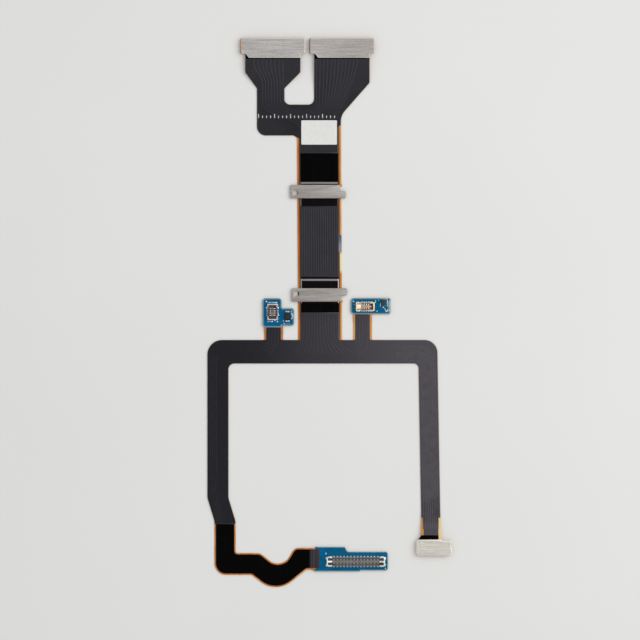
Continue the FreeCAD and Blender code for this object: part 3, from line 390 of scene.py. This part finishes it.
def moulded_plastic(name, dark, light, specular=0.3):
    """Moulded liquid crystal polymer, with painted shade that darkens it low down, in the troughs."""
    paint = Paint(name, Specular_IOR_Level=specular)
    cloud = paint.noise(1.3, 2)
    grain = paint.noise(12.0, 2)
    colour = paint.blend(cloud.rises(0.3, 0.7), tint(dark), tint(light))
    # painted shade: darker low down, in the troughs
    colour = paint.blend((1.0 - paint.z.rises(0.5, 0.95)) * 0.6, colour, tint("#1d1b1c"))
    return paint.finish(colour, 0.42 + 0.15 * grain, paint.relief(grain, 0.004))


def plated_metal(name, dark, light):
    paint = Paint(name, Metallic=1.0)
    cloud = paint.noise(2.0, 2)
    rub = paint.noise(1.0, 2, paint.stretched(5.0, 14.0))
    colour = paint.blend(cloud.rises(0.3, 0.7), tint(dark), tint(light))
    return paint.finish(colour, 0.34 + 0.2 * rub, paint.relief(rub, 0.003))


def socket_contacts(name, socket, tip, strip, foot):
    """Contacts by where they are seen: spring tips, floor strips in the trough and soldered feet outside."""
    paint = Paint(name, Metallic=1.0)
    away = abs(paint.y - socket.middle[1] if socket.along_x else paint.x - socket.middle[0])
    wear = paint.noise(3.0, 2)
    # painted shade: lower down, in the trough, the contacts take the darker strip colour
    colour = paint.blend(paint.z.rises(0.6, 0.78), tint(strip), tint(tip))
    colour = paint.blend(away.rises(socket.half - 0.04, socket.half + 0.02), colour, tint(foot))
    colour = paint.blend(wear.rises(0.4, 0.8) * 0.35, colour, tint("#ffffff"))
    return paint.finish(colour, 0.3 + 0.25 * wear, paint.relief(wear, 0.006))


def chip_case(name, dark, light):
    paint = Paint(name, Specular_IOR_Level=0.2)
    grain = paint.noise(10.0, 3)
    colour = paint.blend(grain, tint(dark), tint(light))
    return paint.finish(colour, 0.45 + 0.2 * grain, paint.relief(grain, 0.006))


def solder(name, dark, light):
    paint = Paint(name, Metallic=1.0)
    cloud = paint.noise(3.0, 3)
    colour = paint.blend(cloud.rises(0.35, 0.65), tint(dark), tint(light))
    return paint.finish(colour, 0.28 + 0.25 * cloud, paint.relief(cloud, 0.015))


def print_and_painted_light(name, dark, light):
    """A thin print or glue line, also used for painted highlights and shadows."""
    paint = Paint(name, Specular_IOR_Level=0.15)
    worn = paint.noise(3.2, 3)
    colour = paint.blend(worn.rises(0.35, 0.7), tint(dark), tint(light))
    return paint.finish(colour, 0.55 + 0.2 * worn, paint.relief(worn, 0.003))


def pale_floor():
    paint = Paint("pale_floor", Specular_IOR_Level=0.1)
    cloud = paint.noise(0.02, 2)
    return paint.finish(paint.blend(cloud, tint("#e4e4e2"), tint("#e9e9e7")), 0.8 + 0.1 * cloud)


slot_finish = {
    "amber_film": amber_film(),
    "shield_film": shield_film("shield_film", 0.75, "#1b1a1f", "#28272c"),
    "black_coverlay": black_film("black_coverlay", "#040404", "#0d0d0c", "#2a1d17"),
    "blue_mask": blue_mask(),
    "board_resin": board_resin(),
    "plate_steel": brushed_steel("plate_steel", "#9c9895", "#d3cfcc", "#e6e0da", "#f3f0ef"),
    "bracket_steel": brushed_steel("bracket_steel", "#999390", "#bab4af", "#cac4bf"),
    "pale_tape": pale_tape(),
    "label": paper_label(),
    "housing_plastic": moulded_plastic("housing_cream", "#8f8574", "#b3a894"),
    "contact_metal": plated_metal("gold_plating", "#c9a45a", "#f0d59a"),
    "fitting_metal": plated_metal("pale_gold_plating", "#d8c49c", "#fff0d0"),
    "chip_body": chip_case("chip_case", "#151617", "#2b2c2c"),
    "solder": solder("solder", "#9fb6c2", "#eef6fa"),
}
tape_black = black_film("tape_black", "#0f0d0d", "#191716", "#2b2523")
own_finish = {
    "lower_right_stiffener": brushed_steel("end_plate_steel", "#bdb9b0", "#ece9e2", "#fbf5ea"),
    "upper_tape_cover": tape_black,
    "lower_tape_cover": tape_black,
    "middle_shield_film": shield_film("middle_film", 0.3, "#26252a", "#2c2b30"),
    "tail_end_film": lined_film(),
    "edge_film_tab": tab_film(),
    "tail_socket_housing": moulded_plastic("housing_grey", "#6a6767", "#7c7a79"),
    "tail_socket_fittings": plated_metal("hood_white", "#d5d6cc", "#fbfaf0"),
    "tail_socket_contacts": socket_contacts("contacts_grey", TAIL, "#989490", "#7b7775", "#9fbcc7"),
    "left_branch_socket_housing": moulded_plastic("housing_dark", "#5d565c", "#7c747a"),
    "left_branch_socket_fittings": plated_metal("hood_grey", "#b8b1b5", "#dfd9da"),
    "left_branch_socket_contacts": socket_contacts("contacts_left", LEFT, "#f0e4d2", "#5a4d44", "#a9c3d3"),
    "right_branch_socket_housing": moulded_plastic("housing_tan", "#a08a78", "#c9b4a2"),
    "right_branch_socket_fittings": plated_metal("hood_cream", "#e9cfae", "#fff0d8"),
    "right_branch_socket_contacts": socket_contacts("contacts_right", RIGHT, "#e6d8c4", "#8f7765", "#c3d3d8"),
    "right_branch_chip_terminals": solder("dull_terminals", "#46585f", "#7d9096"),
    "right_branch_chip_body": chip_case("small_chip_case", "#243034", "#3c484a"),
}
trace_finish = trace_line()

# dressing the solids
MERGE_REACH = 1e-6              # metres
FLAT_TURN = math.radians(0.5)   # faces that turn by less are made one
BROKEN_TURN = math.radians(35)  # edges that turn by more are broken
SMOOTH_TURN = math.radians(30)  # and faces that turn by less are shaded smooth
BROAD = 0.96                    # a broad face looks up or down at least this squarely

# how far an edge is broken, and how wide the strip is along a film's or plate's outline, by slot
EDGES = {"amber_film": 0.03, "shield_film": 0.015, "black_coverlay": 0.015, "blue_mask": 0.02,
         "board_resin": 0.03, "plate_steel": 0.05, "bracket_steel": 0.05, "pale_tape": 0.01, "label": 0.01,
         "housing_plastic": 0.03, "contact_metal": 0.02, "fitting_metal": 0.03, "chip_body": 0.05,
         "solder": 0.03}
STRIPS = {"shield_film": 0.16, "black_coverlay": 0.14, "blue_mask": 0.28, "plate_steel": 0.25, "label": 0.12}
NO_STRIP = ("tail_end_film", "edge_film_tab", "leg_end_coverlay", "tail_board_mask")


def outline_strip(piece, width):
    """Insets the broad faces. Outside the inset rim is 1, and facing is 1 where the piece looks to +X."""
    for face in piece.data.polygons:
        face.select = abs(face.normal.z) > BROAD
    bpy.ops.object.mode_set(mode="EDIT")
    bpy.ops.mesh.select_mode(type="FACE")
    bpy.ops.mesh.inset(thickness=width * MM)
    bpy.ops.object.mode_set(mode="OBJECT")
    inner = {corner for face in piece.data.polygons if face.select for corner in face.vertices}
    outward = [0.0] * len(piece.data.vertices)
    for corner in piece.data.vertices:
        sideways = math.hypot(corner.normal.x, corner.normal.y)
        if corner.index not in inner and sideways > 1e-4:
            outward[corner.index] = corner.normal.x / sideways
    piece.data.attributes.new("facing", "FLOAT", "POINT").data.foreach_set("value", outward)
    rim = piece.data.attributes.new("rim", "FLOAT", "POINT")
    rim.data.foreach_set("value", [0.0 if corner in inner else 1.0 for corner in range(len(outward))])


def break_edges(piece, width):
    bevel = piece.modifiers.new("broken_edges", "BEVEL")
    bevel.width = width * MM
    bevel.segments = 2
    bevel.limit_method = "ANGLE"
    bevel.angle_limit = BROKEN_TURN
    bpy.ops.object.modifier_apply(modifier=bevel.name)


def finished(piece, finish):
    bpy.ops.object.shade_smooth_by_angle(angle=SMOOTH_TURN)
    piece.data.materials.clear()
    piece.data.materials.append(finish)
    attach(piece, "root")


def dressed(node):
    """A finished copy of a solid: merged, its edges broken and its outline marked."""
    slot = slot_of[node]
    piece = bpy.data.objects.new(node + "_finished", nodes[node].data.copy())
    bpy.context.scene.collection.objects.link(piece)
    take(piece)
    if piece.data.has_custom_normals:
        bpy.ops.mesh.customdata_custom_splitnormals_clear()
    bpy.ops.object.mode_set(mode="EDIT")
    bpy.ops.mesh.select_all(action="SELECT")
    bpy.ops.mesh.remove_doubles(threshold=MERGE_REACH)
    bpy.ops.mesh.dissolve_limited(angle_limit=FLAT_TURN)
    bpy.ops.object.mode_set(mode="OBJECT")
    break_edges(piece, EDGES[slot])
    if slot in STRIPS and node not in NO_STRIP:
        outline_strip(piece, STRIPS[slot])
    finished(piece, own_finish.get(node, slot_finish[slot]))
    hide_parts(node)
    return piece


pieces = {node: dressed(node) for node in sorted(nodes)}

# raised trace lines
LINE_HALF_WIDTH = 0.12
LINE_FLATNESS = 0.3             # a line's section is a flat oval, most of which lies in the film
LINE_RISE = 0.022               # and this much stands out of it
RAY_START = 0.01                # metres above the table


def drop_to(surface, x, y):
    """The height of a piece's top at a place, in metres, or None beside it."""
    hit, spot, _, _ = surface.ray_cast(Vector((x, y, RAY_START)), Vector((0, 0, -1)))
    return spot.z if hit else None


def smooth_run(corners):
    """The points, in metres, of a smooth line drawn by its corners."""
    data = bpy.data.curves.new("run", "CURVE")
    data.dimensions = "3D"
    data.resolution_u = 4
    spline = data.splines.new("NURBS")
    spline.points.add(len(corners) - 1)
    for point, (x, y) in zip(spline.points, corners):
        point.co = (x * MM, y * MM, 0.0, 1.0)
    spline.order_u = 3
    spline.use_endpoint_u = True
    holder = bpy.data.objects.new("run", data)
    bpy.context.scene.collection.objects.link(holder)
    bpy.context.view_layer.update()
    mesh = bpy.data.meshes.new_from_object(holder)
    points = [(corner.co.x, corner.co.y) for corner in mesh.vertices]
    bpy.data.objects.remove(holder)
    bpy.data.meshes.remove(mesh)
    return points


def trace_lines(name, surface, families):
    """Low ridges on a film. A family is its first run, its last run and how many lines lie evenly there."""
    data = bpy.data.curves.new(name, "CURVE")
    data.dimensions = "3D"
    data.bevel_depth = LINE_HALF_WIDTH * MM
    data.bevel_resolution = 1
    for first, last, count in families:
        for index in range(count):
            share = index / (count - 1)
            spots = smooth_run([((1 - share) * a[0] + share * b[0], (1 - share) * a[1] + share * b[1])
                                for a, b in zip(first, last)])
            spline = data.splines.new("POLY")
            spline.points.add(len(spots) - 1)
            for point, (x, y) in zip(spline.points, spots):
                point.co = (x, y, 0.0, 1.0)
    piece = bpy.data.objects.new(name, data)
    bpy.context.scene.collection.objects.link(piece)
    take(piece)
    bpy.ops.object.convert(target="MESH")
    level = FILM_TOP * MM
    for corner in piece.data.vertices:
        level = drop_to(surface, corner.co.x, corner.co.y) or level
        corner.co.z = level + corner.co.z * LINE_FLATNESS + (LINE_RISE - LINE_HALF_WIDTH * LINE_FLATNESS) * MM
    finished(piece, trace_finish)


left_finger = ([(-17.0, 56.9), (-17.0, 55.0), (-15.9, 53.6), (-15.1, 52.4), (-15.1, 50.0), (-15.1, 47.2),
                (-14.6, 45.6), (-12.6, 44.6), (-8.6, 43.4), (-6.5, 41.9), (-6.2, 39.5), (-6.2, 36.3)],
               [(-10.5, 56.9), (-10.5, 55.0), (-10.5, 53.6), (-10.5, 52.4), (-10.5, 50.0), (-10.5, 47.6),
                (-10.1, 46.5), (-8.8, 45.8), (-4.6, 45.3), (-2.9, 44.3), (-2.6, 42.0), (-2.6, 36.3)], 8)
right_finger = ([(-3.0, 56.9), (-3.0, 52.0), (-3.0, 48.5), (-2.9, 45.6), (-2.4, 43.4), (-2.1, 41.0),
                 (-2.1, 36.3)],
                [(6.3, 56.9), (5.9, 54.2), (4.8, 51.4), (3.2, 47.4), (1.9, 44.6), (1.3, 42.4),
                 (1.3, 36.3)], 12)
ribbon_middle = ([(-6.2, 23.7), (-6.15, 8.3)], [(1.6, 23.7), (1.7, 8.3)], 16)
ribbon_foot = ([(-5.8, -0.3), (-5.8, -4.6), (-6.2, -6.9), (-8.2, -9.2)],
               [(1.5, -0.3), (1.5, -4.6), (2.2, -6.9), (5.2, -9.2)], 13)
left_leg = ([(-26.9, -9.4), (-26.9, -16.0), (-26.9, -40.9), (-25.4, -45.8), (-25.3, -47.3)],
            [(-25.5, -9.4), (-25.5, -16.0), (-25.5, -40.9), (-24.0, -45.8), (-23.9, -47.3)], 4)
right_leg = ([(15.0, -10.5), (19.4, -10.5), (20.5, -12.0), (20.6, -16.0), (20.9, -30.0), (21.1, -48.6)],
             [(15.0, -7.4), (22.0, -7.4), (23.6, -9.0), (23.8, -14.0), (24.1, -30.0), (24.4, -48.6)], 9)
left_stem = ([(-13.7, -3.9), (-13.7, -6.0), (-13.9, -7.2), (-15.4, -8.2)],
             [(-11.6, -3.9), (-11.6, -6.0), (-11.8, -7.6), (-13.6, -9.4)], 4)
right_stem = ([(6.1, -0.9), (6.1, -5.4), (6.0, -7.2), (5.0, -8.2)],
              [(8.6, -0.9), (8.6, -5.4), (8.4, -7.9), (7.0, -9.6)], 5)
trace_lines("upper_film_traces", pieces["upper_shield_film"], [left_finger, right_finger])
trace_lines("middle_film_traces", pieces["middle_shield_film"], [ribbon_middle])
trace_lines("lower_film_traces", pieces["lower_shield_film"],
            [ribbon_foot, left_leg, right_leg, left_stem, right_stem])


# small bars
def bars(name, finish, foot, boxes, edge):
    """Low bars on one level, each by its middle, its size along X, Y and Z and maybe a turn in degrees."""
    piece = bpy.data.objects.new(name, bpy.data.meshes.new(name))
    bpy.context.scene.collection.objects.link(piece)
    take(piece)
    bpy.ops.object.mode_set(mode="EDIT")
    for x, y, width, depth, rise, *turn in boxes:
        bpy.ops.mesh.primitive_cube_add(size=MM, location=(x * MM, y * MM, (foot + rise / 2) * MM),
                                        scale=(width, depth, rise),
                                        rotation=(0, 0, math.radians(turn[0] if turn else 0)))
    bpy.ops.object.mode_set(mode="OBJECT")
    break_edges(piece, edge)
    finished(piece, finish)


TROUGH_START = 0.285            # from a socket's middle line
TROUGH_WALL = 0.245             # from a trough to the socket's half depth
TROUGH_RISE = 0.12
TROUGH_SLACK = 0.005            # on each side of a contact
TONGUE_START = 0.26             # from a socket's middle line
TONGUE_FOOT = 0.76
TONGUE_RISE = 0.06


def in_socket(socket, along, across, length, depth, rise):
    """A bar by its place and size along and across a socket's rows."""
    x, y = socket.middle
    if socket.along_x:
        return (x + along, y + across, length, depth, rise)
    return (x + across, y + along, depth, length, rise)


def trough_floor(name, finish, socket):
    """The floor of a socket's two troughs, between the contacts."""
    gap = socket.pitch - socket.contact
    end_gap = gap / 2 - TROUGH_SLACK
    spots = [((index - socket.row / 2) * socket.pitch, gap - 2 * TROUGH_SLACK)
             for index in range(1, socket.row)]
    spots += [(side * (socket.row * socket.pitch - end_gap) / 2, end_gap) for side in (-1, 1)]
    outer = socket.half - TROUGH_WALL
    bars(name, finish, MASK_TOP,
         [in_socket(socket, along, side * (outer + TROUGH_START) / 2,
                    length, outer - TROUGH_START, TROUGH_RISE)
          for side in (-1, 1) for along, length in spots], 0.01)


def spring_tongues(name, finish, socket, width, reach):
    """The bent-over ends of the contacts, which reach from the island over the trough."""
    bars(name, finish, TONGUE_FOOT,
         [in_socket(socket, (index - (socket.row - 1) / 2) * socket.pitch, side * (TONGUE_START + reach / 2),
                    width, reach, TONGUE_RISE)
          for index in range(socket.row) for side in (-1, 1)], 0.025)


trough_floor("tail_socket_troughs", moulded_plastic("trough_grey", "#98949a", "#aeaaa9", 0.15), TAIL)
trough_floor("left_socket_troughs", moulded_plastic("trough_black", "#343032", "#443f41", 0.15), LEFT)
trough_floor("right_socket_troughs", moulded_plastic("trough_tan", "#9c8373", "#b89c88", 0.15), RIGHT)
spring_tongues("tail_socket_springs", plated_metal("spring_grey", "#8b8784", "#a9a5a2"), TAIL, 0.3, 0.3)
spring_tongues("left_socket_springs", plated_metal("spring_pale", "#c9bcae", "#fff4e6"), LEFT, 0.2, 0.42)
spring_tongues("right_socket_springs", plated_metal("spring_cream", "#e8d6bf", "#fff6e6"), RIGHT, 0.24, 0.32)
bars("right_socket_slot", moulded_plastic("slot_black", "#1c120c", "#2a1a10", 0.1), 0.5,
     [(9.55, 1.4, 0.26, 1.3, 0.2)], 0.02)
bars("right_socket_latch", plated_metal("latch_gold", "#c98f56", "#f3c894"), 0.5,
     [(9.76, 1.4, 0.14, 1.0, 0.3), (9.2, 1.4, 0.34, 0.34, 0.36)], 0.03)

# plain ticks, the plates' glue lines with painted shadow, and the label's lower edge line
ROOT = 0.01                     # how far a print starts inside what carries it
TICK_START = -16.0
TICK_BASE = 43.8
TICK_PITCH = 0.9
TICK_LENGTHS = (0.9, 0.54, 0.54, 0.54)
ticks = [(TICK_START + TICK_PITCH * index, TICK_LENGTHS[index % 4]) for index in range(20)]
bars("scale_ticks", print_and_painted_light("white_print", "#a9abae", "#dcdddf"), FILM_TOP - ROOT,
     [(x, TICK_BASE + length / 2, 0.2, length, 0.04) for x, length in ticks], 0.004)
bars("bracket_ticks", print_and_painted_light("bracket_print", "#8b8480", "#978f8b"), BRACKET_TOP - ROOT,
     [(-3.1 + 0.42 * index, 4.4, 0.2, 0.42, 0.014) for index in range(8)], 0.002)
# dark strips along the plates' lower edges: their glue, and painted shadow under the raised plates
bars("plate_glue_and_shadow_lines", print_and_painted_light("glue_and_shadow_black", "#060505", "#12100f"), PLATE_FOOT + 0.02,
     [(-12.75, 57.2, 12.1, 0.24, 0.07), (0.2, 57.2, 5.9, 0.24, 0.07), (6.0, 57.25, 5.8, 0.12, 0.07)], 0.01)
# a brown line along the label's lower edge
bars("label_lower_edge_line", print_and_painted_light("label_edge_brown", "#3a2c2a", "#4c3c38"), FILM_TOP - ROOT,
     [(-2.36, 37.76, 8.0, 0.18, 0.035)], 0.01)

# prints and solder on the boards
PRINT = 0.03                    # the height of a clear print from its root
DIM_PRINT = 0.02
FILLET = 0.07                   # the height of a solder fillet
LOW_FILLET = 0.05
HIGH_FILLET = 0.09
pale_print = print_and_painted_light("pale_print", "#9dbccb", "#cfe6f2")
bars("left_board_prints", pale_print, MASK_TOP - ROOT,
     [(-8.5, -0.35, 0.3, 0.8, PRINT, 24), (-8.42, -1.05, 0.3, 0.8, PRINT, -20),
      (-10.4, -1.85, 0.22, 0.3, PRINT), (-10.2, -2.45, 0.26, 0.26, PRINT, 30)], 0.01)
bars("left_board_dim_prints", print_and_painted_light("dim_print", "#466583", "#6f86a1"), MASK_TOP - ROOT,
     [(-12.9, 2.32, 2.1, 0.3, DIM_PRINT), (-11.45, 1.55, 0.16, 1.0, DIM_PRINT),
      (-14.22, 0.6, 0.14, 2.2, DIM_PRINT), (-11.5, -1.35, 0.16, 0.8, DIM_PRINT),
      (-9.4, -2.4, 1.0, 0.16, DIM_PRINT)], 0.01)
bars("left_socket_feet", solder("foot_solder", "#b8dcee", "#f4fbff"), MASK_TOP,
     [(-11.58, 1.1, 0.3, 0.42, HIGH_FILLET), (-11.58, -0.52, 0.3, 0.42, HIGH_FILLET),
      (-14.2, 1.18, 0.24, 0.34, FILLET), (-12.32, -1.76, 0.3, 0.24, FILLET)], 0.03)
bars("right_board_prints", pale_print, MASK_TOP - ROOT,
     [(12.93, 2.1, 0.14, 1.3, PRINT), (11.42, 1.8, 0.12, 0.8, PRINT), (12.07, 1.24, 0.3, 0.3, PRINT, 45),
      (12.5, 0.72, 0.2, 0.7, PRINT, 25), (12.85, 0.32, 0.56, 0.18, PRINT), (13.1, 0.6, 0.18, 0.6, PRINT),
      (10.98, 2.78, 0.2, 0.16, PRINT), (5.58, 1.87, 0.12, 0.16, PRINT),
      (5.58, 0.97, 0.12, 0.16, PRINT)], 0.01)
bars("right_board_edge_print", print_and_painted_light("edge_print", "#a3afb4", "#dde4e6"), MASK_TOP - ROOT,
     [(13.5, 1.35, 0.2, 2.7, 0.025), (13.18, 1.5, 0.1, 2.2, DIM_PRINT),
      (12.3, 3.12, 1.7, 0.14, DIM_PRINT)], 0.01)
bars("right_socket_feet", solder("foot_cream", "#a9c3cc", "#e9f1f2"), MASK_TOP,
     [(6.4, 0.36, 0.8, 0.2, FILLET), (9.3, 0.36, 0.8, 0.2, FILLET), (6.3, 2.42, 0.6, 0.16, LOW_FILLET),
      (9.3, 2.42, 0.7, 0.16, LOW_FILLET)], 0.03)
# the pale rim along the tail board's outline, a painted highlight
RIM_WIDTH = 0.12
bars("tail_board_rim_highlight", print_and_painted_light("painted_rim_highlight", "#6f96a4", "#93b2bb"), MASK_TOP - ROOT,
     [(0.25, -52.75, 6.3, RIM_WIDTH, DIM_PRINT), (3.63, -53.25, 1.15, RIM_WIDTH, DIM_PRINT, -65.6),
      (8.25, -53.85, 8.5, RIM_WIDTH, DIM_PRINT), (12.87, -54.0, 0.45, RIM_WIDTH, DIM_PRINT, -45),
      (13.02, -55.86, RIM_WIDTH, 3.1, DIM_PRINT), (12.87, -57.72, 0.45, RIM_WIDTH, DIM_PRINT, 45),
      (9.67, -57.87, 5.65, RIM_WIDTH, DIM_PRINT), (1.8, -58.09, 9.8, RIM_WIDTH, DIM_PRINT)], 0.006)
bars("tail_socket_feet", solder("foot_pale", "#b5d0da", "#f2fafc"), MASK_TOP,
     [(-0.78, -55.2, 0.2, 0.5, HIGH_FILLET), (-0.78, -56.8, 0.2, 0.4, FILLET),
      *((x, y, 0.9, 0.14, FILLET) for x in (0.1, 11.7) for y in (-54.86, -57.08)),
      (12.55, -55.3, 0.2, 0.6, FILLET), (12.55, -56.7, 0.2, 0.5, FILLET)], 0.03)

# the moulded ring on the left chip
RING_MIDDLE = Vector((-9.5, -0.92, CHIP_TOP)) * MM
RING_RADIUS = 0.26
RING_HALF_WIDTH = 0.045
RING_STRETCH = (1.0, 1.25, 0.4)
clear_selection()
bpy.ops.mesh.primitive_torus_add(location=RING_MIDDLE, major_radius=RING_RADIUS * MM,
                                 minor_radius=RING_HALF_WIDTH * MM, major_segments=24, minor_segments=8)
chip_ring = bpy.context.active_object
chip_ring.name = "left_chip_ring"
take(chip_ring)
bpy.ops.object.transform_apply(location=True, rotation=True, scale=True)
bpy.ops.object.mode_set(mode="EDIT")
bpy.ops.mesh.select_all(action="SELECT")
bpy.ops.transform.resize(value=RING_STRETCH, center_override=RING_MIDDLE)
bpy.ops.object.mode_set(mode="OBJECT")
finished(chip_ring, print_and_painted_light("ring_print", "#3b3535", "#5a5150"))

# floor, lamp and sky
bpy.ops.mesh.primitive_plane_add(size=FLOOR_WIDTH, location=(0, 0, -FLOOR_DROP * MM))
floor = bpy.context.active_object
floor.name = "floor"
floor.data.materials.append(pale_floor())

lamp = bpy.data.objects.new("soft_lamp", bpy.data.lights.new("soft_lamp", "AREA"))
lamp.data.shape = "DISK"
lamp.data.size = LAMP_WIDTH
lamp.location = LAMP_SPOT
lamp.rotation_euler = (-LAMP_SPOT).to_track_quat("-Z", "Y").to_euler()
lamp.data.energy = LAMP_SHARE * math.pi ** 2 * LAMP_SPOT.length_squared / LAMP_SPOT.normalized().z
bpy.context.scene.collection.objects.link(lamp)

sky = bpy.data.worlds.new("sky")
bpy.context.scene.world = sky
sky.use_nodes = True
sky.node_tree.nodes["Background"].inputs["Color"].default_value = (SKY_SHARE, SKY_SHARE, SKY_SHARE, 1.0)
sky.node_tree.nodes["Background"].inputs["Strength"].default_value = 1.0

clear_selection()
